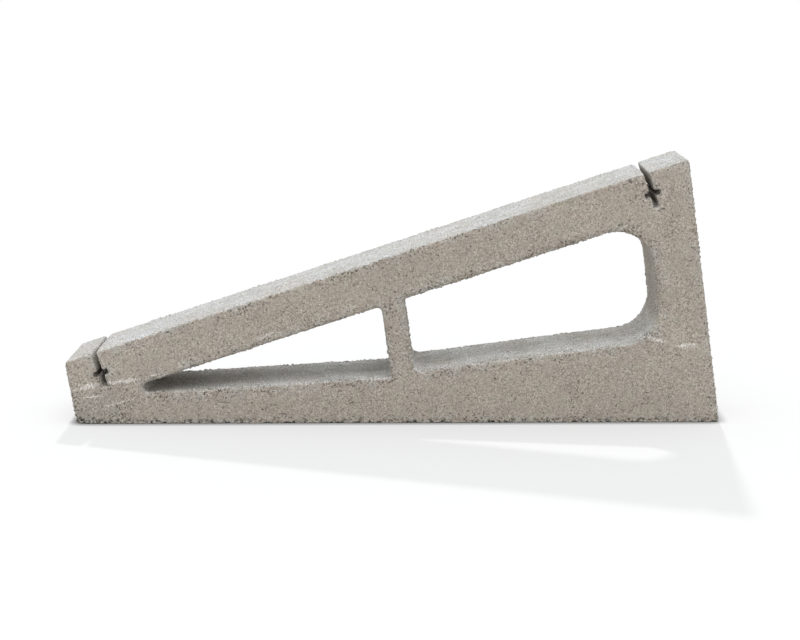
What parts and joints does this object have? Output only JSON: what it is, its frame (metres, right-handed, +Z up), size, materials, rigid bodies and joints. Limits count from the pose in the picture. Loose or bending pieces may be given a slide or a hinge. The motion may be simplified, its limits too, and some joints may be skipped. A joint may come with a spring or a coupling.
{
  "type": "solar ballast mount",
  "caption": "Concrete wedge that holds a tilted solar panel by its weight, with a flat underside, a sloping seat with cross-shaped clamp slots, and windows either side of a web.",
  "frame": {"origin": "middle of the flat underside, midway along and across the block", "axes": "+X runs along the block from the low end to the high end, +Y across it, +Z up from the underside"},
  "size_m": [1.0017, 0.15, 0.4027],
  "materials": {
    "concrete": "dry-cast concrete, matte and open-pored, with small surface pits and sand grains"
  },
  "bodies": {
    "root": {"ballast_block": "concrete"}
  },
  "joints": []
}
